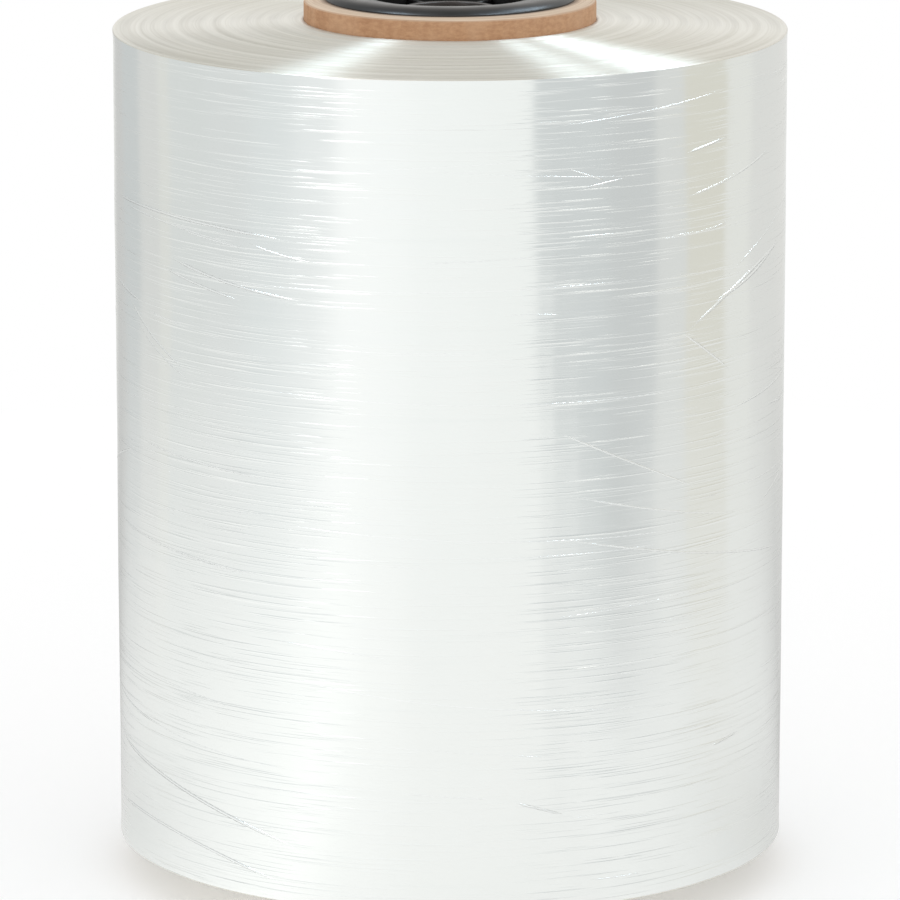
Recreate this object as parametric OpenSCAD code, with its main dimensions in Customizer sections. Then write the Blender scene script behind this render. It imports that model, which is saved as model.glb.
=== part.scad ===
// Roll of shrink film, standing on its end.
// The origin is the middle of the face that it stands on, and +Z runs up its axis.

/* [Film] */
// Width of the film, from one end of the roll to the other
film_w = 254; // [200:1:360]
// Diameter over the outermost turn
roll_d = 208; // [170:1:260]
// Rounding of the outermost turns at each end
edge_round = 0.4; // [0.2:0.1:3]
// How far the innermost turns have slipped up past the outermost ones
end_cone = 2.4; // [0.3:0.1:4]
// Groups of turns that show as rings across each end
turn_groups = 15; // [6:1:24]
// How far a group of turns wanders up or down from the mean slope
turn_wander = 0.14; // [0.02:0.02:0.4]
// Bands of slightly thicker film that show as hoops along the side
gauge_bands = 13; // [6:1:20]
// How deep the side sinks between two bands
gauge_dip = 0.22; // [0.06:0.02:0.5]
// How far a crease stands out from the side
crease_h = 0.25; // [0.1:0.05:0.6]
// Width of a crease
crease_w = 0.9; // [0.5:0.1:2]
// Gap between the first turn and the core
wind_gap = 0.05; // [0:0.01:0.3]

/* [Core] */
// Bore of the card core
core_bore_d = 76.2; // [70:0.1:90]
// Wall of the card core
core_wall = 7; // [5:0.5:12]
// How far the core stands out past the turns beside it, at the upper end
core_out = 6.35; // [2:0.05:15]
// Bevel round each outer edge of the core
core_bevel = 0.5; // [0.2:0.1:1.5]

/* [Core plugs] */
// Overlap of a plug's rim on the end of the core
plug_lip = 0.4; // [0.2:0.1:3]
// Gap between a plug's skirt and the bore of the core
plug_gap = 0.15; // [0.05:0.05:0.4]
// Height of the rim's crest above the end of the core
rim_h = 2.4; // [1.8:0.1:5]
// Thickness of the rim at its outer edge
rim_edge = 0.3; // [0.2:0.1:1]
// Radial width of the rim, from its outer edge to its recess
rim_w = 13; // [11:0.1:15]
// Radial run from the rim's outer edge up to its crest
crest_run = 4; // [3:0.1:5]
// Width of the flat along the rim's crest
crest_w = 2; // [1:0.1:3]
// How far the rim dishes down from its crest to its recess
rim_dish = 1.2; // [0.4:0.1:1.6]
// Bevel between the rim and the recess
recess_bevel = 0.5; // [0.3:0.1:1]
// Thickness of a plug's walls
plug_wall = 2.2; // [1.6:0.1:3]
// Length of the skirt inside the core
skirt_len = 30; // [15:1:60]
// How much the skirt's radius shrinks along its length
skirt_taper = 0.4; // [0:0.1:1]
// Depth of the hub below the rim's crest
hub_depth = 5.4; // [4:0.1:8]
// Depth of the web below the hub's end
web_depth = 2.6; // [1:0.1:5]
// Diameter of the hole through the hub
hub_hole_d = 25.4; // [16:0.1:30]
// Length of the hub, which stands out on both sides of the web
hub_len = 8; // [6:0.5:20]
// Ribs between the hub and the rim
rib_count = 6; // [3:1:10]
// Thickness of a rib
rib_w = 1.6; // [1:0.1:3]
// How far the ribs stop short of the hub's end
rib_drop = 0.4; // [0.2:0.1:1]

/* [Hidden] */
$fn = 128;

film_r = roll_d / 2;
core_bore_r = core_bore_d / 2;
core_r = core_bore_r + core_wall;
wind_r = core_r + wind_gap;
core_len = film_w + 2 * (end_cone + core_out);
core_z = rim_h;
film_z = core_z + end_cone + core_out;

rim_r = core_bore_r + plug_lip;
recess_r = rim_r - rim_w;
crest_out_r = rim_r - crest_run;
crest_in_r = crest_out_r - crest_w;
dish_z = rim_h - rim_dish;
rim_under_z = dish_z - plug_wall / 2;
crest_drop = rim_h - rim_edge;
crest_arc_r = (crest_run * crest_run + crest_drop * crest_drop) / (2 * crest_drop);
rim_arc_steps = 8;
skirt_r = core_bore_r - plug_gap;
hub_hole_r = hub_hole_d / 2;
hub_r = hub_hole_r + plug_wall;
hub_z = rim_h - hub_depth;
web_z = hub_z - web_depth;
rib_h = web_depth + plug_wall / 2 - rib_drop;

// Angle that scatters the turns and the bands with no pattern that shows
golden_turn = 137.5;
edge_steps = 5;

// Long creases of the outer turn, with angles in degrees:
// direction, height as a share of the film's width, slope, and reach to each side
creases = [
    [208, 0.81, -7, 26],
    [214, 0.74, -10, 24],
    [196, 0.67, -12, 22],
    [200, 0.2, -14, 27],
    [207, 0.14, -11, 25],
    [322, 0.79, 9, 27],
    [335, 0.69, 16, 18],
    [308, 0.46, -9, 20],
    [284, 0.32, 1, 20],
    [20, 0.58, 8, 26],
    [48, 0.38, -10, 24],
    [76, 0.75, 12, 22],
    [104, 0.24, -8, 26],
    [130, 0.84, 7, 24],
    [156, 0.5, -13, 25],
];

// Where the boundary after a given number of turn groups lies, as a radius
function turn_r(i) = wind_r + (film_r - edge_round - wind_r) * i / turn_groups;

// How far a group of turns has slipped up, from the mean slope and its own wander
function turn_rise(i) =
    i == turn_groups - 1
        ? 0
        : end_cone * (1 - i / (turn_groups - 1)) + turn_wander * sin(golden_turn * i);

// Radius of the side at each boundary of a gauge band
function band_r(i) = film_r - gauge_dip * (1 - cos(golden_turn * i)) / 2;

// Quarter round from one end face to the side, at the top or the bottom
function edge_points(face, dir) = [
    for (i = [0:edge_steps])
        let (a = 90 * i / edge_steps)
        [
            film_r - edge_round + edge_round * sin(a),
            face - dir * edge_round * (1 - cos(a))
        ]
];

// The two ends of each group of turns across one end face
function end_points(face) = [
    for (i = [0:turn_groups - 1], side = [0, 1])
        [turn_r(i + side), face + turn_rise(i)]
];

// Inner boundaries of the gauge bands, from the bottom of the side to the top
function side_points() = [
    for (i = [1:gauge_bands - 1])
        [band_r(i), edge_round + (film_w - 2 * edge_round) * i / gauge_bands]
];

function backwards(points) = [for (i = [len(points) - 1:-1:0]) points[i]];

module crease(direction, height, slope, reach) {
    rotate([0, 0, direction])
        translate([0, 0, height])
            intersection() {
                rotate([slope, 0, 0])
                    cube([4 * film_r, 4 * film_r, crease_w], center = true);
                cylinder(r = film_r + crease_h, h = film_w, center = true);
                translate([film_r * cos(reach), -film_r, -film_w / 2])
                    cube([film_r, 2 * film_r, film_w]);
            }
}

module film_roll() {
    color([0.93, 0.95, 0.94])
        translate([0, 0, film_z])
            union() {
                rotate_extrude()
                    polygon(concat(
                        end_points(0),
                        edge_points(0, -1),
                        side_points(),
                        backwards(edge_points(film_w, 1)),
                        backwards(end_points(film_w))
                    ));
                for (c = creases)
                    crease(c[0], c[1] * film_w, c[2], c[3]);
            }
}

module core_tube() {
    color([0.74, 0.58, 0.44])
        translate([0, 0, core_z])
            rotate_extrude()
                polygon([
                    [core_bore_r, 0],
                    [core_r - core_bevel, 0],
                    [core_r, core_bevel],
                    [core_r, core_len - core_bevel],
                    [core_r - core_bevel, core_len],
                    [core_bore_r, core_len],
                ]);
}

// Half section of a plug, with the end of the core at zero and the outside upwards
function plug_section() = concat(
    [
        [hub_hole_r, hub_z],
        [hub_r, hub_z],
        [hub_r, web_z],
        [recess_r, web_z],
        [recess_r, dish_z - recess_bevel],
        [recess_r + recess_bevel, dish_z],
        [crest_in_r, rim_h],
    ],
    [
        for (i = [0:rim_arc_steps])
            let (r = crest_out_r + crest_run * i / rim_arc_steps)
            [r, rim_h - crest_arc_r + sqrt(pow(crest_arc_r, 2) - pow(r - crest_out_r, 2))]
    ],
    [
        [rim_r, 0],
        [skirt_r, 0],
        [skirt_r - skirt_taper, -skirt_len],
        [skirt_r - skirt_taper - plug_wall, -skirt_len],
        [skirt_r - plug_wall, rim_under_z],
        [recess_r + plug_wall, rim_under_z],
        [recess_r + plug_wall, web_z - plug_wall],
        [hub_r, web_z - plug_wall],
        [hub_r, hub_z - hub_len],
        [hub_hole_r, hub_z - hub_len],
    ]
);

module core_plug() {
    color([0.06, 0.06, 0.06])
        union() {
            rotate_extrude()
                polygon(plug_section());
            for (i = [0:rib_count - 1])
                rotate([0, 0, 360 * (i + 0.5) / rib_count + 90])
                    translate([hub_r - plug_wall / 2, -rib_w / 2, web_z - plug_wall / 2])
                        cube([recess_r + plug_wall - hub_r, rib_w, rib_h]);
        }
}

module top_core_plug() {
    translate([0, 0, core_z + core_len])
        core_plug();
}

module bottom_core_plug() {
    translate([0, 0, core_z])
        mirror([0, 0, 1])
            core_plug();
}

film_roll();
core_tube();
top_core_plug();
bottom_core_plug();
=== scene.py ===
"""Dresses a roll of shrink film: the wound film, its card core and the two black plugs.

Lengths are in metres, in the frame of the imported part: +Z runs up the roll's axis, and -Y faces the camera.
"""

import math

import bpy
import numpy as np
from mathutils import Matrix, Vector


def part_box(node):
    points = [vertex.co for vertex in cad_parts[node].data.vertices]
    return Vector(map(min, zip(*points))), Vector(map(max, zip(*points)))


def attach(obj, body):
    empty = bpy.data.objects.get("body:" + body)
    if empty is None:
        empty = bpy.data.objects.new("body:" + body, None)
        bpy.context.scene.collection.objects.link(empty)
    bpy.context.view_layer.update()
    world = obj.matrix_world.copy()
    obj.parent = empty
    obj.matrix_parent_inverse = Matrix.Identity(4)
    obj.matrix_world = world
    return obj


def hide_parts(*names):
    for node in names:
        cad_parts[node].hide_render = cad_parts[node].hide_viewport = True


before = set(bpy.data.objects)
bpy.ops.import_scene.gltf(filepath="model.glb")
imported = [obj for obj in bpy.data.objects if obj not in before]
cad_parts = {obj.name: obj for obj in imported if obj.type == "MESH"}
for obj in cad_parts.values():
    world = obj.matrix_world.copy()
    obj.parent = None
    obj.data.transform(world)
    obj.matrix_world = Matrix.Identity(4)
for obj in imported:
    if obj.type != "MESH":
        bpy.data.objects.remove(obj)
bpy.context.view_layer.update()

MM = 0.001
SEED = 11

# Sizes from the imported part, where the film's box also holds the creases that stand out from its side
film_low, film_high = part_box("film_roll")
core_low, core_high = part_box("core_tube")
plug_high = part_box("top_core_plug")[1]
CREASE_RISE = 0.25 * MM
FILM_R = (film_high.x - film_low.x) / 2 - CREASE_RISE
FILM_LOW = film_low.z
CORE_R = core_high.x
RIM_H = plug_high.z - core_high.z
RIM_R = plug_high.x

# Sizes of the film and the core inside their boxes
FILM_W = 254 * MM
END_CONE = 2.4 * MM
EDGE_ROUND = 0.4 * MM
WIND_GAP = 0.05 * MM
CORE_BORE_R = 38.1 * MM

# Sizes of the plug's moulding inside its box
RIM_EDGE = 0.3 * MM
RIM_W = 13 * MM
RECESS_R = RIM_R - RIM_W
CREST_RUN = 4 * MM
CREST_W = 2 * MM
RIM_DISH = 1.2 * MM
RECESS_BEVEL = 0.5 * MM
PLUG_WALL = 2.2 * MM
PLUG_GAP = 0.15 * MM
SKIRT_R = CORE_BORE_R - PLUG_GAP
SKIRT_TAPER = 0.4 * MM
SKIRT_LEN = 30 * MM
HUB_R = 12.7 * MM
HUB_DEPTH = 5.4 * MM
HUB_TOP = RIM_H - HUB_DEPTH
WEB_DEPTH = 2.6 * MM
WEB_TOP = HUB_TOP - WEB_DEPTH
HUB_LEN = 8 * MM
RIB_COUNT = 6
RIB_W = 1.6 * MM
RIB_DROP = 0.4 * MM
RIB_TOP = HUB_TOP - RIB_DROP

# Camera
CAMERA_DISTANCE = 2.05
CAMERA_HEIGHT = 0.57985
CAMERA_PITCH = math.radians(12.339)
FRAME_PX = 900
FOCAL_PX = 6715.3
SENSOR_MM = 36


def smoothstep(x):
    x = np.clip(x, 0, 1)
    return x * x * (3 - 2 * x)


def add_object(name, data):
    obj = bpy.data.objects.new(name, data)
    bpy.context.scene.collection.objects.link(obj)
    return obj


def make_object(name, verts, faces):
    mesh = bpy.data.meshes.new(name)
    mesh.from_pydata([tuple(v) for v in verts], [], faces)
    mesh.polygons.foreach_set("use_smooth", [True] * len(mesh.polygons))
    mesh.update()
    return add_object(name, mesh)


def ring_faces(rings, around, closed=True):
    """Quads between neighbouring rings, and between the last ring and the first one if closed."""
    faces = []
    for i in range(rings if closed else rings - 1):
        j = (i + 1) % rings
        for k in range(around):
            n = (k + 1) % around
            faces.append((i * around + k, i * around + n, j * around + n, j * around + k))
    return faces


def turned(section, around):
    """Points and faces of a closed anticlockwise section of (radius, height), turned round the Z axis."""
    section = np.array(section, float)
    angle = np.linspace(0, 2 * np.pi, around, endpoint=False)
    radius, height = section[:, 0][:, None], section[:, 1][:, None]
    level = np.ones_like(angle)[None, :]
    verts = np.stack([radius * np.cos(angle), radius * np.sin(angle), height * level], -1)
    return verts.reshape(-1, 3).tolist(), ring_faces(len(section), around)


def arc(centre, radius, start, end, steps):
    """Points of an arc in the section, between two angles in degrees."""
    return [
        (centre[0] + radius * math.cos(a), centre[1] + radius * math.sin(a))
        for a in np.radians(np.linspace(start, end, steps + 1))
    ]


def wander(count, scale, rng):
    """A smooth random line of count values, with bumps about scale values long and about one high."""
    knots = rng.normal(size=max(4, int(count / scale) + 4))
    line = np.interp(np.linspace(0, len(knots) - 1, count), np.arange(len(knots)), knots)
    kernel = np.hanning(max(3, int(scale)))
    return np.convolve(line, kernel / kernel.sum(), mode="same")


# The film

AROUND = 256
SIDE_ROWS = 110
END_RINGS = 34

# Creases that the photograph shows: direction in degrees, height up the film as a share, slope and half
# reach in degrees, height and width in millimetres, and sag of the middle as a share of the half reach
SHOWN_CREASES = [
    (217, 0.805, -1, 27, 0.054, 1.3, -0.032),
    (214, 0.797, -3, 19, 0.03, 0.9, -0.03),
    (227, 0.792, -5, 8, 0.03, 0.9, 0.0),
    (241, 0.787, -10, 6, 0.048, 0.9, 0.046),
    (230, 0.747, -8, 15, 0.066, 1.2, 0.026),
    (223, 0.736, -9, 10, 0.054, 1.1, 0.005),
    (197, 0.700, -6, 8, 0.06, 1.2, 0.0),
    (210, 0.660, -24, 11, 0.036, 1.2, 0.04),
    (213, 0.640, -22, 9, 0.03, 1.0, 0.04),
    (217, 0.101, -10, 28, 0.06, 1.6, -0.055),
    (215, 0.035, -5, 28, 0.048, 1.4, -0.10),
    (222, 0.520, -3, 18, 0.03, 1.0, 0.0),
    (214, 0.405, -3, 26, 0.03, 1.0, 0.0),
    (318, 0.901, 8, 5, 0.09, 0.9, 0.0),
    (326, 0.860, 10, 14, 0.03, 1.2, 0.02),
    (332, 0.736, 15, 13, 0.054, 1.5, 0.051),
    (317, 0.804, 3, 8, 0.036, 1.0, 0.08),
    (330, 0.718, 17, 17, 0.048, 1.6, -0.12),
    (318, 0.654, -33, 6, 0.042, 1.2, 0.0),
    (302, 0.535, -24, 15, 0.036, 1.0, 0.015),
    (308, 0.475, -12, 18, 0.024, 1.0, 0.03),
    (318, 0.415, -10, 32, 0.036, 1.0, 0.029),
    (285, 0.125, -17, 4, 0.09, 0.9, 0.0),
    (324, 0.170, 6, 4, 0.072, 0.9, 0.0),
    (293, 0.883, -20, 3, 0.072, 0.8, 0.0),
    (296, 0.872, 8, 4, 0.06, 0.8, 0.0),
    (262, 0.749, 1, 50, 0.015, 0.7, 0.0),
    (268, 0.620, -1, 54, 0.015, 0.7, 0.01),
    (276, 0.455, -2, 44, 0.015, 0.7, 0.01),
    (276, 0.255, -5, 34, 0.015, 0.8, 0.02),
]

# How many creases are drawn at random, as long ones round the back and as faint ones all round
BACK_CREASES = 50
FAINT_CREASES = 70

# Ridge of a crease: degrees between its points, the fewest points of a whole one and of one that an end
# cuts short, depth of its feet under the side, distance that it keeps from the ends, how steeply it tapers,
# and the width of its tips as a share
CREASE_STEP = 0.8
CREASE_POINTS = 7
CREASE_POINTS_CUT = 5
CREASE_FOOT = 0.03 * MM
CREASE_MARGIN = 2 * MM
CREASE_TAPER = 2.5
CREASE_TIP = 0.35


def scattered_creases(rng):
    """More creases of the same kinds: long ones round the back, and faint ones all round."""
    rows = []
    for _ in range(BACK_CREASES):
        rows.append((
            rng.uniform(-15, 195), rng.uniform(0.04, 0.96), rng.normal(0, 9), rng.uniform(9, 28),
            rng.uniform(0.036, 0.084), rng.uniform(0.6, 1.0), rng.normal(0, 0.03),
        ))
    for _ in range(FAINT_CREASES):
        rows.append((
            rng.uniform(0, 360), rng.uniform(0.02, 0.98), rng.normal(0, 3), rng.uniform(5, 22),
            rng.uniform(0.012, 0.03), rng.uniform(0.4, 0.7), rng.normal(0, 0.02),
        ))
    return rows


def grid_value(grid, turn, height, heights):
    """Values of a grid of heights by directions between its own points."""
    across = (turn / (2 * np.pi) % 1) * AROUND
    k = across.astype(int) % AROUND
    n = (k + 1) % AROUND
    part = across - np.floor(across)
    i = np.clip(np.searchsorted(heights, height) - 1, 0, len(heights) - 2)
    rise = np.clip((height - heights[i]) / (heights[i + 1] - heights[i]), 0, 1)
    low = grid[i, k] * (1 - part) + grid[i, n] * part
    high = grid[i + 1, k] * (1 - part) + grid[i + 1, n] * part
    return low * (1 - rise) + high * rise


def crease_line(direction, share, slope, reach, sag):
    """Directions and heights along the middle of a crease, as far as it stays on the side."""
    count = max(CREASE_POINTS, int(2 * reach / CREASE_STEP) + 1)
    along = np.linspace(-1, 1, count)
    half_run = FILM_R * math.radians(reach)
    turn = np.radians(direction + reach * along)
    middle = FILM_LOW + share * FILM_W + half_run * along * math.tan(math.radians(slope))
    middle -= sag * half_run * (1 - along ** 2)
    inside = (middle > FILM_LOW + CREASE_MARGIN) & (middle < FILM_LOW + FILM_W - CREASE_MARGIN)
    return turn[inside], middle[inside]


def add_creases(verts, faces, flat, crease, rows, grid, heights):
    """Creases as thin closed ridges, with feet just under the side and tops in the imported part's box."""
    for direction, share, slope, reach, rise, width, sag in rows:
        turn, middle = crease_line(direction, share, slope, reach, sag)
        n = len(turn)
        if n < CREASE_POINTS_CUT:
            continue
        taper = smoothstep((1 - np.abs(np.linspace(-1, 1, n))) * CREASE_TAPER)
        half = width * MM / 2 * (CREASE_TIP + (1 - CREASE_TIP) * taper)
        start = len(verts)
        top = rise * MM * taper
        for offset, lift in ((-half, -CREASE_FOOT), (np.zeros(n), top), (half, -CREASE_FOOT)):
            r = grid_value(grid, turn, middle + offset, heights) + lift
            r = np.minimum(r, FILM_R + CREASE_RISE)
            verts += list(zip(r * np.cos(turn), r * np.sin(turn), middle + offset))
        crease += [0.0] * n + list(taper) + [0.0] * n
        for k in range(n - 1):
            a, b, c = start + k, start + n + k, start + 2 * n + k
            faces += [(a, a + 1, b + 1, b), (b, b + 1, c + 1, c), (c, c + 1, a + 1, a)]
            flat += [False, False, True]
        faces += [(start, start + n, start + 2 * n), (start + n - 1, start + 3 * n - 1, start + 2 * n - 1)]
        flat += [True, True]


# How far the rings of an end are scattered along the radius and up and down, half the width of the slope
# between two rings, and the steps of each rounded edge
RING_SHIFT = 0.4 * MM
RING_SLIP = 0.035 * MM
RING_STEP = 0.05 * MM
ROUND_STEPS = 4

# Parts of the film's section. A face takes the ends' material where its two edges add up to more than one
ON_END = 1
ON_ROUND = 0.6
ON_SIDE = 0


def film_section(rng):
    """Section of the film, anticlockwise from the inside of the lower end, and each point's part of it."""
    inner, outer = CORE_R + WIND_GAP, FILM_R - EDGE_ROUND
    shifts = rng.uniform(-1, 1, END_RINGS - 1) * RING_SHIFT
    bounds = np.sort([inner, *(np.linspace(inner, outer, END_RINGS + 1)[1:-1] + shifts), outer])
    share = (bounds[:-1] - inner) / (outer - inner)
    rise = END_CONE * (1 - share) + RING_SLIP * rng.normal(size=END_RINGS)
    rise[-1] = 0
    end = []
    for i in range(END_RINGS):
        end.append((bounds[i] + RING_STEP, rise[i]))
        end.append((bounds[i + 1] - RING_STEP, rise[i]))
    low, high = FILM_LOW + EDGE_ROUND, FILM_LOW + FILM_W - EDGE_ROUND
    parts = [
        (ON_END, [(r, FILM_LOW + z) for r, z in end]),
        (ON_ROUND, arc((outer, low), EDGE_ROUND, -80, -10, ROUND_STEPS)),
        (ON_SIDE, [(FILM_R, z) for z in np.linspace(low, high, SIDE_ROWS)]),
        (ON_ROUND, arc((outer, high), EDGE_ROUND, 10, 80, ROUND_STEPS)),
        (ON_END, [(r, FILM_LOW + FILM_W + z) for r, z in reversed(end)]),
    ]
    section = [point for _, points in parts for point in points]
    kinds = [kind for kind, points in parts for _ in points]
    return np.array(section), np.array(kinds, float)


# Waves of the side: how many go round, how many go up at most, and their height in millimetres
SWELLS = ((3, 1.3, 0.05), (5, 2.2, 0.05), (8, 3.1, 0.035), (13, 4.2, 0.018))
SWELL_REPEATS = 3

# Gauge bands: their height in millimetres, and the rows that one takes
GAUGE_RISE = 0.03
GAUGE_ROWS = 7

# How far the side lies inside its full radius in millimetres, and the run near each end where relief fades
SIDE_SINK = 0.12
SIDE_FADE = 4 * MM

# Waves of the ends: how many go round, and their height
FLUTTER_WAVES = (2, 3, 5, 9)
FLUTTER_RISE = 0.02 * MM


def side_relief(angles, share, rng):
    """Millimetres by which the side stands out past its full radius, with gauge bands and broad waves."""
    gauge = np.interp(share, np.linspace(0, 1, SIDE_ROWS), wander(SIDE_ROWS, GAUGE_ROWS, rng))
    swell = np.zeros_like(angles)
    for waves, tall, size in SWELLS:
        for _ in range(SWELL_REPEATS):
            spin, tilt = rng.uniform(0, 2 * np.pi), rng.uniform(-1, 1)
            swell += size * np.cos(waves * angles + 2 * np.pi * tall * tilt * share + spin)
    return GAUGE_RISE * gauge + swell - SIDE_SINK


def end_relief(angles, radius, rng):
    """Height of the broad waves across the ends."""
    flutter = np.zeros_like(angles)
    for waves in FLUTTER_WAVES:
        spin, twist = rng.uniform(0, 6.28), rng.uniform(0.05, 0.3)
        flutter += FLUTTER_RISE * np.cos(waves * angles + spin + radius / MM * twist)
    return flutter


def film_mesh():
    rng = np.random.default_rng(SEED)
    section, kinds = film_section(rng)
    angle = np.linspace(0, 2 * np.pi, AROUND, endpoint=False)
    radius = np.repeat(section[:, 0][:, None], AROUND, 1)
    height = np.repeat(section[:, 1][:, None], AROUND, 1)
    angles = np.repeat(angle[None, :], len(section), 0)
    share = (height - FILM_LOW) / FILM_W

    on_side = kinds == ON_SIDE
    fade = smoothstep(np.minimum(share, 1 - share) * FILM_W / SIDE_FADE) * on_side[:, None]
    radius += fade * MM * side_relief(angles, share, rng)
    height += end_relief(angles, radius, rng) * (kinds == ON_END)[:, None]

    verts = np.stack([radius * np.cos(angles), radius * np.sin(angles), height], -1).reshape(-1, 3)
    verts = [tuple(v) for v in verts]
    faces = ring_faces(len(section), AROUND)
    slots = np.repeat((kinds + np.roll(kinds, -1) > 1).astype(int), AROUND).tolist()
    flat = [False] * len(faces)
    crease = [0.0] * len(verts)
    rows = SHOWN_CREASES + scattered_creases(rng)
    add_creases(verts, faces, flat, crease, rows, radius[on_side], section[on_side, 1])
    slots += [0] * (len(faces) - len(slots))

    film = make_object("wound_film", verts, faces)
    film.data.polygons.foreach_set("use_smooth", [not f for f in flat])
    layer = film.data.attributes.new("crease", "FLOAT", "POINT")
    layer.data.foreach_set("value", crease)
    film.data.materials.append(film_side_material())
    film.data.materials.append(film_end_material())
    film.data.polygons.foreach_set("material_index", slots)
    return film


# The card core and the plugs

CORE_AROUND = 192
CORE_ROWS = 60
CORE_WALL_RINGS = 8
CORE_EDGE = 1.1 * MM
CORE_LIP = 0.4 * MM


def core_mesh():
    low, high = core_low.z, core_high.z
    wall = np.linspace(CORE_BORE_R + CORE_LIP, CORE_R - CORE_EDGE, CORE_WALL_RINGS)[1:-1]
    length = np.linspace(low + 2 * CORE_EDGE, high - 2 * CORE_EDGE, CORE_ROWS)
    section = (
        arc((CORE_BORE_R + CORE_LIP, low + CORE_LIP), CORE_LIP, 180, 270, 3)
        + [(r, low) for r in wall]
        + arc((CORE_R - CORE_EDGE, low + CORE_EDGE), CORE_EDGE, 270, 360, 4)
        + [(CORE_R, z) for z in length]
        + arc((CORE_R - CORE_EDGE, high - CORE_EDGE), CORE_EDGE, 0, 90, 4)
        + [(r, high) for r in wall[::-1]]
        + arc((CORE_BORE_R + CORE_LIP, high - CORE_LIP), CORE_LIP, 90, 180, 3)
        + [(CORE_BORE_R, z) for z in length[::-1]]
    )
    return make_object("card_core", *turned(section, CORE_AROUND))


PLUG_AROUND = 160
EDGE_SOFT = 0.3 * MM
RIB_SOFT = 0.35 * MM
RIB_OVERLAP = 0.4


def plug_section():
    """Half section of a plug, anticlockwise, with the core's end at zero and the outside upwards."""
    crest_out = RIM_R - CREST_RUN
    crest_in = crest_out - CREST_W
    drop = RIM_H - RIM_EDGE
    crest_arc = (CREST_RUN * CREST_RUN + drop * drop) / (2 * drop)
    sweep = math.degrees(math.asin(CREST_RUN / crest_arc))
    dish = RIM_H - RIM_DISH
    under = dish - PLUG_WALL / 2
    hub_out = HUB_R + PLUG_WALL
    soft = EDGE_SOFT
    return (
        # The hub's lower end, the undersides of the web and the rim, the skirt and the rim's edge
        [(HUB_R, HUB_TOP - HUB_LEN), (hub_out, HUB_TOP - HUB_LEN), (hub_out, WEB_TOP - PLUG_WALL)]
        + [(RECESS_R + PLUG_WALL, WEB_TOP - PLUG_WALL), (RECESS_R + PLUG_WALL, under)]
        + [(SKIRT_R - PLUG_WALL, under), (SKIRT_R - SKIRT_TAPER - PLUG_WALL, -SKIRT_LEN)]
        + [(SKIRT_R - SKIRT_TAPER, -SKIRT_LEN), (SKIRT_R, 0), (RIM_R, 0), (RIM_R, RIM_EDGE * 0.6)]
        # The rim, up to its crest and down its dish to the recess
        + arc((crest_out, RIM_H - crest_arc), crest_arc, 90 - sweep * 0.98, 90, 12)
        + [(crest_in + CREST_W * 0.4, RIM_H), (crest_in, RIM_H - 0.04 * MM)]
        + [(crest_in - 1.2 * MM, RIM_H - 0.25 * MM), (RECESS_R + RECESS_BEVEL + 0.6 * MM, dish + 0.08 * MM)]
        + arc((RECESS_R + RECESS_BEVEL, dish - RECESS_BEVEL), RECESS_BEVEL, 90, 180, 5)
        # The recess, the web's top and the hub's upper end
        + [(RECESS_R, WEB_TOP + 3 * soft)]
        + arc((RECESS_R - soft, WEB_TOP + soft), soft, 0, -90, 3)
        + [(hub_out + 2 * soft, WEB_TOP)]
        + arc((hub_out + soft, WEB_TOP + soft), soft, -90, -180, 3)
        + arc((hub_out - soft, HUB_TOP - soft), soft, 0, 90, 3)
        + arc((HUB_R + soft, HUB_TOP - soft), soft, 90, 180, 3)
    )


def add_ribs(verts, faces):
    """Ribs with rounded tops between the hub and the rim, which reach into both and into the web."""
    inner, outer = HUB_R + PLUG_WALL * (1 - RIB_OVERLAP), RECESS_R + PLUG_WALL * RIB_OVERLAP
    foot = WEB_TOP - PLUG_WALL * RIB_OVERLAP
    half = RIB_W / 2
    profile = (
        [(half, foot)]
        + arc((half - RIB_SOFT, RIB_TOP - RIB_SOFT), RIB_SOFT, 0, 90, 3)
        + arc((RIB_SOFT - half, RIB_TOP - RIB_SOFT), RIB_SOFT, 90, 180, 3)
        + [(-half, foot)]
    )
    count = len(profile)
    for i in range(RIB_COUNT):
        turn = math.radians(360 * (i + 0.5) / RIB_COUNT + 90)
        out = Vector((math.cos(turn), math.sin(turn), 0))
        across = Vector((-math.sin(turn), math.cos(turn), 0))
        start = len(verts)
        for reach in (inner, outer):
            verts += [tuple(out * reach + across * x + Vector((0, 0, z))) for x, z in profile]
        for k in range(count):
            n = (k + 1) % count
            faces.append((start + k, start + n, start + count + n, start + count + k)[::-1])
        faces.append(tuple(start + k for k in range(count)))
        faces.append(tuple(start + count + k for k in range(count))[::-1])


def plug_mesh(name, at, mirrored):
    """A plug on the end of the core at a height, upside down if mirrored."""
    verts, faces = turned(plug_section(), PLUG_AROUND)
    add_ribs(verts, faces)
    flip = -1 if mirrored else 1
    verts = [(x, y, at + flip * z) for x, y, z in verts]
    if mirrored:
        faces = [f[::-1] for f in faces]
    return make_object(name, verts, faces)


# Materials

def new_material(name):
    material = bpy.data.materials.new(name)
    material.use_nodes = True
    material.node_tree.nodes.clear()
    return material, material.node_tree


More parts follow.
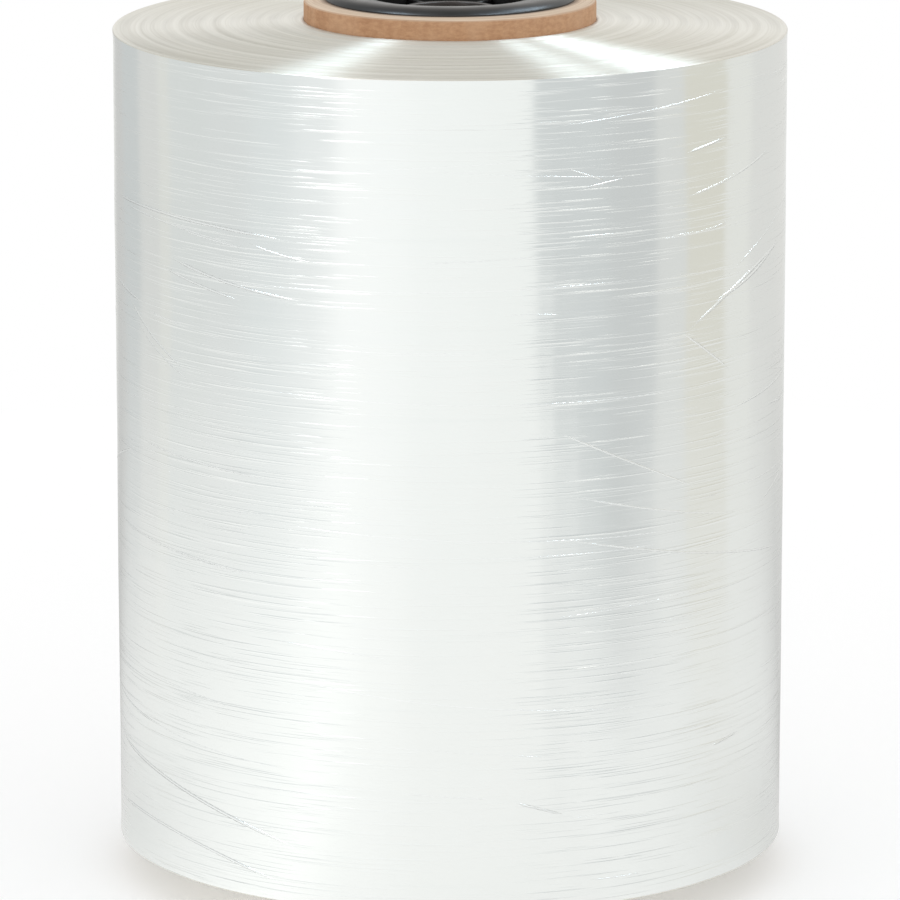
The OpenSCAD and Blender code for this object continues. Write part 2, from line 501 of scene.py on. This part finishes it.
class Graph:
    """Short ways to add nodes to a tree."""

    def __init__(self, tree):
        self.tree = tree

    def node(self, kind, **settings):
        made = self.tree.nodes.new(kind)
        for key, value in settings.items():
            setattr(made, key, value)
        return made

    def link(self, source, target):
        self.tree.links.new(source, target)

    def feed(self, socket, value):
        if isinstance(value, bpy.types.NodeSocket):
            self.link(value, socket)
        else:
            socket.default_value = value

    def math(self, operation, a, b):
        made = self.node("ShaderNodeMath", operation=operation)
        self.feed(made.inputs[0], a)
        self.feed(made.inputs[1], b)
        return made.outputs[0]

    def span(self, value, low, high, to_low=0.0, to_high=1.0):
        """Smooth step of value from low to high."""
        made = self.node("ShaderNodeMapRange", interpolation_type="SMOOTHSTEP")
        keys = ("Value", "From Min", "From Max", "To Min", "To Max")
        for key, given in zip(keys, (value, low, high, to_low, to_high)):
            self.feed(made.inputs[key], given)
        return made.outputs["Result"]

    def total(self, first, *others):
        """Sum of values, each given with its weight."""
        result = self.math("MULTIPLY", *first)
        for value, weight in others:
            result = self.math("ADD", result, self.math("MULTIPLY", value, weight))
        return result

    def mix(self, share, a, b):
        made = self.node("ShaderNodeMix", data_type="RGBA")
        self.feed(made.inputs[0], share)
        self.feed(made.inputs[6], a)
        self.feed(made.inputs[7], b)
        return made.outputs[2]

    def place(self):
        return self.node("ShaderNodeTexCoord").outputs["Object"]

    def scaled(self, vector, scale):
        """The vector times a scale, which sets how many spots a noise has in each metre of X, Y and Z."""
        made = self.node("ShaderNodeMapping")
        self.link(vector, made.inputs["Vector"])
        made.inputs["Scale"].default_value = scale
        return made.outputs["Vector"]

    def noise(self, vector, detail, rough):
        made = self.node("ShaderNodeTexNoise")
        self.link(vector, made.inputs["Vector"])
        made.inputs["Scale"].default_value = 1.0
        made.inputs["Detail"].default_value = detail
        made.inputs["Roughness"].default_value = rough
        return made.outputs["Fac"]

    def round_place(self, place):
        """Radius from the roll's axis, and the place's own X, Y and Z."""
        parts = self.node("ShaderNodeSeparateXYZ")
        self.link(place, parts.inputs[0])
        x2 = self.math("MULTIPLY", parts.outputs[0], parts.outputs[0])
        y2 = self.math("MULTIPLY", parts.outputs[1], parts.outputs[1])
        return self.math("SQRT", self.math("ADD", x2, y2), 0), parts.outputs

    def rings(self, radius, axes, across, along, detail, rough):
        """Noise drawn out round the axis, with its scale across the rings and along them."""
        made = self.node("ShaderNodeCombineXYZ")
        for socket, value, scale in zip(made.inputs, (radius, axes[0], axes[1]), (across, along, along)):
            self.feed(socket, self.math("MULTIPLY", value, scale))
        return self.noise(made.outputs[0], detail, rough)

    def attribute(self, name):
        return self.node("ShaderNodeAttribute", attribute_name=name).outputs["Fac"]

    def bump(self, height, distance, strength):
        made = self.node("ShaderNodeBump")
        self.feed(made.inputs["Height"], height)
        made.inputs["Distance"].default_value = distance
        self.feed(made.inputs["Strength"], strength)
        return made.outputs["Normal"]

    def tangent(self):
        """Direction round the roll's axis, for highlights that fine grooves draw out."""
        return self.node("ShaderNodeTangent", direction_type="RADIAL", axis="Z").outputs[0]

    def surface(self, shader):
        out = self.node("ShaderNodeOutputMaterial")
        self.link(shader.outputs[0], out.inputs["Surface"])

    def principled(self, **values):
        shader = self.node("ShaderNodeBsdfPrincipled")
        for key, value in values.items():
            self.feed(shader.inputs[key.replace("_", " ")], value)
        self.surface(shader)


def film_side_material():
    """The outer turn: glossy, milky in depth, with fine ridges round it that catch the soft boxes."""
    material, tree = new_material("shrink_film_side")
    g = Graph(tree)
    place = g.place()
    crease = g.attribute("crease")

    # Relief: long and short dashes, hairs and hoops
    dash = g.span(g.noise(g.scaled(place, (19, 19, 1500)), 1, 0.4), 0.565, 0.78)
    short = g.span(g.noise(g.scaled(place, (36, 36, 2300)), 1, 0.4), 0.61, 0.81)
    hair = g.noise(g.scaled(place, (12, 12, 2600)), 2, 0.5)
    hoop = g.noise(g.scaled(place, (5, 5, 260)), 3, 0.6)
    height = g.total((dash, 0.075), (short, 0.042), (hair, 0.012), (hoop, 0.04))
    normal = g.bump(height, 1 * MM, g.span(crease, 0.0, 0.6, 1.0, 0.1))

    # Colour: milky clouds, slightly darker bands, and a painted highlight that makes the creases pale
    cloud = g.noise(g.scaled(place, (26, 26, 9)), 3, 0.55)
    tone = g.noise(g.scaled(place, (7, 7, 330)), 3, 0.6)
    colour = g.mix(cloud, (0.82, 0.845, 0.83, 1), (0.86, 0.875, 0.86, 1))
    colour = g.mix(g.span(tone, 0.55, 0.8, 0, 0.3), colour, (0.78, 0.81, 0.80, 1))
    # Painted highlight: the colour is lightened towards white along the creases
    colour = g.mix(g.math("MULTIPLY", crease, 0.4), colour, (0.95, 0.96, 0.965, 1))
    rough = g.span(g.noise(g.scaled(place, (16, 16, 40)), 3, 0.6), 0.25, 0.75, 0.10, 0.14)
    rough = g.math("ADD", rough, g.math("MULTIPLY", crease, 0.14))
    g.principled(
        Base_Color=colour, Metallic=0.55, Roughness=rough, Anisotropic=0.9, Anisotropic_Rotation=0.25,
        Normal=normal, Tangent=g.tangent(),
    )
    return material


def film_end_material():
    """The cut edges of the turns: satin and creamy, drawn out into wedges of light by their fine rings."""
    material, tree = new_material("shrink_film_ends")
    g = Graph(tree)
    radius, axes = g.round_place(g.place())
    fine = g.rings(radius, axes, 2400, 22, 2, 0.5)
    broad = g.rings(radius, axes, 620, 9, 4, 0.7)
    colour = g.mix(g.span(broad, 0.3, 0.7), (0.68, 0.655, 0.58, 1), (0.80, 0.78, 0.71, 1))
    colour = g.mix(g.span(fine, 0.45, 0.7, 0, 0.4), colour, (0.86, 0.84, 0.78, 1))
    normal = g.bump(g.math("ADD", fine, broad), 0.03 * MM, 0.8)
    g.principled(
        Base_Color=colour, Metallic=0.5, Roughness=0.37, Anisotropic=1.0, Anisotropic_Rotation=0.25,
        Normal=normal, Tangent=g.tangent(),
    )
    return material


# Radii from where a mark starts to where it is full: painted shade on the cut card round the plug, dust round
# the hub's hole, and a painted sheen on the plug's rim, from the inside and from the outside
CARD_PAINTED_SHADE = (41.6 * MM, 39.2 * MM)
HUB_DUST = (14.5 * MM, 13.5 * MM)
RIM_SHEEN_INSIDE = (26 * MM, 29 * MM)
RIM_SHEEN_OUTSIDE = (38 * MM, 35.5 * MM)


def card_material():
    """Brown card: fibrous and blotched on the side, pale plies on the cut ends, and a painted shade round the
    bore where the plug's rim meets them.
    """
    material, tree = new_material("brown_card")
    g = Graph(tree)
    place = g.place()
    radius, axes = g.round_place(place)
    fibre = g.noise(g.scaled(place, (420, 420, 900)), 5, 0.7)
    blotch = g.noise(g.scaled(place, (110, 110, 45)), 4, 0.65)
    plies = g.rings(radius, axes, 1900, 30, 2, 0.5)
    side = g.mix(g.span(fibre, 0.3, 0.7), (0.46, 0.240, 0.125, 1), (0.60, 0.347, 0.196, 1))
    side = g.mix(g.span(blotch, 0.35, 0.7, 0, 0.5), side, (0.62, 0.385, 0.24, 1))
    side = g.mix(g.span(blotch, 0.5, 0.25, 0, 0.5), side, (0.425, 0.22, 0.117, 1))
    cut = g.mix(g.span(plies, 0.35, 0.65), (0.62, 0.465, 0.335, 1), (0.80, 0.65, 0.50, 1))
    # Painted shade: the cut card is darkened towards the bore, standing in for the shade under the plug's rim
    ragged = g.math("ADD", radius, g.math("MULTIPLY", blotch, 1.2 * MM))
    painted_shade = g.span(ragged, *CARD_PAINTED_SHADE, 0, 0.8)
    cut = g.mix(painted_shade, cut, (0.16, 0.105, 0.075, 1))
    facing = g.node("ShaderNodeSeparateXYZ")
    g.link(g.node("ShaderNodeNewGeometry").outputs["True Normal"], facing.inputs[0])
    up = g.span(g.math("ABSOLUTE", facing.outputs[2], 0), 0.25, 0.95)
    colour = g.mix(up, side, cut)
    normal = g.bump(g.total((fibre, 0.7), (plies, up)), 0.1 * MM, 0.6)
    g.principled(Base_Color=colour, Roughness=0.82, Normal=normal, Specular_IOR_Level=0.25)
    return material


def plug_material():
    """Black plastic with faint flow marks and scuffs, dusty round the hub's hole, and with a painted sheen on
    the rim.
    """
    material, tree = new_material("black_plastic")
    g = Graph(tree)
    place = g.place()
    radius, axes = g.round_place(place)
    flow = g.noise(g.scaled(place, (140, 140, 140)), 4, 0.6)
    scuff = g.rings(radius, axes, 900, 70, 3, 0.7)
    colour = g.mix(g.span(scuff, 0.5, 0.8), (0.008, 0.007, 0.007, 1), (0.026, 0.023, 0.021, 1))
    dust = g.span(radius, *HUB_DUST, 0, 0.8)
    colour = g.mix(dust, colour, (0.085, 0.07, 0.062, 1))
    # Painted sheen: the rim's colour is lifted from black towards grey between these radii, standing in for
    # its gloss
    painted_sheen = g.math("MULTIPLY", g.span(radius, *RIM_SHEEN_INSIDE, 0, 0.8), g.span(radius, *RIM_SHEEN_OUTSIDE))
    colour = g.mix(painted_sheen, colour, (0.085, 0.078, 0.072, 1))
    rough = g.span(flow, 0.3, 0.7, 0.30, 0.40)
    normal = g.bump(g.math("ADD", flow, g.math("MULTIPLY", scuff, 0.3)), 0.08 * MM, 0.3)
    g.principled(Base_Color=colour, Roughness=rough, Normal=normal)
    return material


# The studio: a pale floor, and round it a tent and soft boxes that only glossy surfaces see

FLOOR_R = 0.7
TENT_R = 0.7
TENT_HIGH = 0.95
TENT_AROUND = 600
TENT_LIFT = 0.5 * MM
TENT_FLOOR_R = TENT_R - 0.01
TENT_FLOOR_RINGS = 16
TENT_WALL_RINGS = 20
TENT_INNER_R = 0.02
ROOF_RADII = (0.55, 0.3, TENT_INNER_R)
ROOF_SLOPE = 0.3
ROOF_LIGHT = (0.68, 0.68, 0.67)

# Light of the tent's wall at the back, then each change of it going round: its direction up the wall and at
# the foot, in degrees from the camera's side towards the right, how soft it is, and the light after it
BACK_LIGHT = (0.80, 0.80, 0.78)
TENT_CHANGES = [
    (-158, -158, 4, (0.56, 0.56, 0.55)),
    (-142, -138, 1.5, (0.55, 0.58, 0.585)),
    (-125, -125, 1.5, (0.70, 0.70, 0.68)),
    (-111, -111, 1, (0.78, 0.78, 0.73)),
    (-104, -104, 1, (0.715, 0.745, 0.735)),
    (-85, -85, 3, (0.74, 0.765, 0.765)),
    (-66, -76, 5, (0.80, 0.85, 0.86)),
    (-50, -64, 5, (0.97, 1.0, 1.01)),
    (-35, -51, 3, (1.30, 1.31, 1.31)),
    (-13, -13, 7, (1.20, 1.22, 1.21)),
    (10, 10, 10, (1.13, 1.15, 1.13)),
    (26, 41, 0.6, (0.60, 0.64, 0.65)),
    (50, 54, 3, (0.545, 0.57, 0.575)),
    (69, 69, 1, (0.72, 0.73, 0.71)),
    (81.5, 81.5, 0.8, (0.725, 0.69, 0.565)),
    (101, 101, 0.8, (0.88, 0.875, 0.82)),
    (117, 117, 1.5, (0.78, 0.77, 0.74)),
    (158, 158, 4, BACK_LIGHT),
]

# Height below which the changes slant towards their directions at the foot
SLANT_HEIGHT = 0.15

# How much lighter the wall is high up, where only the ends and the ridges mirror it, the heights between
# which it grows lighter, the share of that in front, and the turn over which that grows to the whole behind
HIGH_GAIN = 0.25
HIGH_FROM = 0.24
HIGH_TO = 0.40
HIGH_FRONT_SHARE = 0.2
HIGH_TURN_FROM = 90
HIGH_TURN = 70

# Light of the floor near the roll, by direction. It takes over below NEAR_START on the wall and across the
# floor, where the path grows by one in each NEAR_RUN, and reaches its full share at NEAR_END
NEAR_LIGHTS = (
    (-180, 0.60), (-150, 0.55), (-135, 0.85), (-116, 1.05), (-87, 1.22), (-60, 1.38), (-40, 1.54),
    (-25, 1.33), (-9, 1.22), (23, 1.15), (40, 1.20), (60, 1.17), (80, 1.06), (100, 1.02), (120, 0.92),
    (140, 0.60), (180, 0.60),
)
NEAR_TINT = (1.0, 1.0, 0.985)
NEAR_START = 0.09
NEAR_RUN = 0.40
NEAR_END = 2.1
NEAR_SHARE = 0.92

# How much darker the floor is beside and behind the roll, by radius and by direction
DIM_R = 0.30
DIM_SHARE = 0.27
DIM_TURN_FROM = 40
DIM_TURN = 70

# Direction and half width of the dark band, which keeps its tone furthest down
DARK_BAND = 54
DARK_BAND_HALF = 13

# Tint of the high boxes, whose light is drawn out into wedges on the film's end
HIGH_TINT = (0.68, 0.85, 1)

# Soft boxes: name, direction and half width in degrees, heights of the lower and upper edge, distance from
# the axis, radiance and tint
SOFT_BOXES = [
    ("left_box", -41, 8.5, 0.36, 0.92, 0.67, 2.4, (1, 1, 1)),
    ("right_box", 47, 6.5, 0.36, 0.92, 0.67, 1.6, (1, 0.96, 0.90)),
    ("far_right_box", 73, 6, 0.40, 0.92, 0.67, 1.3, (1, 0.97, 0.92)),
    ("left_high_box", -62, 11, 0.62, 0.90, 0.42, 18, HIGH_TINT),
    ("right_high_box", 55.5, 9.5, 0.62, 0.90, 0.42, 18, HIGH_TINT),
    ("far_right_high_box", 104, 13, 0.62, 0.90, 0.42, 16, HIGH_TINT),
]


def wall_light(direction, height):
    """Light of the tent's wall, for arrays of directions in degrees and heights."""
    low = (1 - np.clip(height / SLANT_HEIGHT, 0, 1)) ** 2
    light = np.array(BACK_LIGHT) * np.ones(direction.shape + (1,))
    before = np.array(BACK_LIGHT)
    for high_at, low_at, soft, after in TENT_CHANGES:
        at = high_at + (low_at - high_at) * low
        share = 0.5 + 0.5 * np.tanh((direction - at) / soft)
        light += (np.array(after) - before) * share[..., None]
        before = np.array(after)
    behind = smoothstep((np.abs(direction) - HIGH_TURN_FROM) / HIGH_TURN)
    gain = HIGH_GAIN * (HIGH_FRONT_SHARE + (1 - HIGH_FRONT_SHARE) * behind)
    lift = 1 + gain * smoothstep((height - HIGH_FROM) / (HIGH_TO - HIGH_FROM))
    return near_light(direction, (NEAR_START - height) / NEAR_START, light * lift[..., None])


def near_light(direction, path, light):
    """Mixes in the light of the near floor. Path is 0 where that starts on the wall, and 1 at its foot."""
    middles, values = zip(*NEAR_LIGHTS)
    near = np.interp(direction, middles, values)[..., None] * np.array(NEAR_TINT)
    late = np.exp(-((direction - DARK_BAND) / DARK_BAND_HALF) ** 2)
    share = NEAR_SHARE * smoothstep((path - late) / (NEAR_END - late))
    return light + (near - light) * share[..., None]


def floor_light(direction, radius):
    """Light of the floor as gloss shows it: like the wall's foot far out, paler and plainer by the roll."""
    foot = wall_light(direction, np.full_like(direction, NEAR_START))
    light = near_light(direction, 1 + (TENT_R - radius) / NEAR_RUN, foot)
    beside = smoothstep((np.abs(direction) - DIM_TURN_FROM) / DIM_TURN)
    beside = beside * smoothstep((DIM_R - radius) / (DIM_R - FILM_R))
    return light * (1 - DIM_SHARE * beside)[..., None]


def glow_material(name, attribute):
    material, tree = new_material(name)
    g = Graph(tree)
    glow = g.node("ShaderNodeEmission")
    colour = g.node("ShaderNodeAttribute", attribute_name=attribute)
    g.link(colour.outputs["Color"], glow.inputs["Color"])
    g.surface(glow)
    material.cycles.emission_sampling = "NONE"
    return material


def only_for_gloss(obj):
    obj.visible_camera = False
    obj.visible_diffuse = False
    obj.visible_shadow = False


def make_tent():
    """One surface over the floor, up the wall and over the roof, with its light on its points."""
    direction = np.linspace(-180, 180, TENT_AROUND, endpoint=False)
    turn = np.radians(direction - 90)
    level = np.ones_like(direction)
    floor = np.linspace(TENT_INNER_R, TENT_FLOOR_R, TENT_FLOOR_RINGS)
    wall = np.linspace(TENT_LIFT, TENT_HIGH, TENT_WALL_RINGS)
    roof_light = np.array(ROOF_LIGHT) * level[:, None]
    rings = [(r, TENT_LIFT, floor_light(direction, r * level)) for r in floor]
    rings += [(TENT_R, z, wall_light(direction, z * level)) for z in wall]
    rings += [(r, TENT_HIGH + (TENT_R - r) * ROOF_SLOPE, roof_light) for r in ROOF_RADII]
    verts = [np.stack([r * np.cos(turn), r * np.sin(turn), z * level], -1) for r, z, _ in rings]
    faces = ring_faces(len(rings), TENT_AROUND, closed=False)
    tent = make_object("studio_tent", np.concatenate(verts), faces)
    layer = tent.data.attributes.new("light", "FLOAT_COLOR", "POINT")
    colour = np.concatenate([light for _, _, light in rings])
    colour = np.column_stack([colour, np.ones(len(colour))])
    layer.data.foreach_set("color", colour.astype(np.float32).ravel())
    tent.data.materials.append(glow_material("studio_tent_light", "light"))
    only_for_gloss(tent)


def make_soft_boxes():
    for name, direction, spread, low, high, away, radiance, tint in SOFT_BOXES:
        lamp = bpy.data.lights.new(name, "AREA")
        lamp.shape = "RECTANGLE"
        lamp.size = 2 * away * math.tan(math.radians(spread))
        lamp.size_y = high - low
        # The watts that give a flat lamp of this size its radiance
        lamp.energy = radiance * math.pi * lamp.size * lamp.size_y
        lamp.color = tint
        box = add_object(name, lamp)
        turn = math.radians(direction - 90)
        out = Vector((math.cos(turn), math.sin(turn), 0))
        box.location = out * away + Vector((0, 0, (low + high) / 2))
        box.rotation_mode = "QUATERNION"
        box.rotation_quaternion = out.to_track_quat("Z", "Y")
        only_for_gloss(box)


# Colour of the floor, its glow where it is seen, and the points and radii of its rings
FLOOR_COLOUR = (0.86, 0.86, 0.86, 1)
FLOOR_LIFT = 0.25
FLOOR_AROUND = 96
FLOOR_RADII = (0.12, 0.3, FLOOR_R)


def make_floor():
    count = FLOOR_AROUND
    turns = np.linspace(0, 2 * np.pi, count, endpoint=False)
    verts = [(0, 0, 0)] + [(r * math.cos(t), r * math.sin(t), 0) for r in FLOOR_RADII for t in turns]
    faces = [(0, 1 + k, 1 + (k + 1) % count) for k in range(count)]
    for ring in range(len(FLOOR_RADII) - 1):
        a, b = 1 + ring * count, 1 + (ring + 1) * count
        faces += [(a + k, b + k, b + (k + 1) % count, a + (k + 1) % count) for k in range(count)]
    floor = make_object("studio_floor", verts, faces)
    material, tree = new_material("pale_floor")
    g = Graph(tree)
    matte = g.node("ShaderNodeBsdfDiffuse")
    matte.inputs["Color"].default_value = FLOOR_COLOUR
    lift = g.node("ShaderNodeEmission")
    g.link(g.math("MULTIPLY", seen_ray(g), FLOOR_LIFT), lift.inputs["Strength"])
    both = g.node("ShaderNodeAddShader")
    g.link(matte.outputs[0], both.inputs[0])
    g.link(lift.outputs[0], both.inputs[1])
    g.surface(both)
    floor.data.materials.append(material)


def seen_ray(g):
    """One for the rays that show the background, straight or in gloss or glass."""
    rays = g.node("ShaderNodeLightPath")
    mirrored = g.math("MAXIMUM", rays.outputs["Is Glossy Ray"], rays.outputs["Is Transmission Ray"])
    return g.math("MAXIMUM", rays.outputs["Is Camera Ray"], mirrored)


# Strength of the white world as light on dull surfaces. Where it is seen or mirrored, it is one
SOFT_LIGHT = 0.88


def make_world():
    world = bpy.data.worlds.new("studio_world")
    bpy.context.scene.world = world
    world.use_nodes = True
    tree = world.node_tree
    tree.nodes.clear()
    g = Graph(tree)
    strength = g.span(seen_ray(g), 0, 1, SOFT_LIGHT, 1.0)
    back = g.node("ShaderNodeBackground")
    back.inputs["Color"].default_value = (1, 1, 1, 1)
    g.link(strength, back.inputs["Strength"])
    out = g.node("ShaderNodeOutputWorld")
    g.link(back.outputs[0], out.inputs["Surface"])


def make_camera():
    data = bpy.data.cameras.new("camera")
    data.sensor_width = SENSOR_MM
    data.lens = FOCAL_PX / FRAME_PX * SENSOR_MM
    data.clip_end = 20
    camera = add_object("camera", data)
    camera.location = (0, -CAMERA_DISTANCE, CAMERA_HEIGHT)
    camera.rotation_euler = (math.pi / 2 - CAMERA_PITCH, 0, 0)
    bpy.context.scene.camera = camera


def dress(piece, material, node):
    if material:
        piece.data.materials.append(material)
    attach(piece, "root")
    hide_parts(node)


make_camera()
make_world()
make_floor()
make_tent()
make_soft_boxes()
bpy.context.scene.view_settings.view_transform = "Standard"

dress(film_mesh(), None, "film_roll")
dress(core_mesh(), card_material(), "core_tube")
plastic = plug_material()
dress(plug_mesh("upper_plug", core_high.z, False), plastic, "top_core_plug")
dress(plug_mesh("lower_plug", core_low.z, True), plastic, "bottom_core_plug")
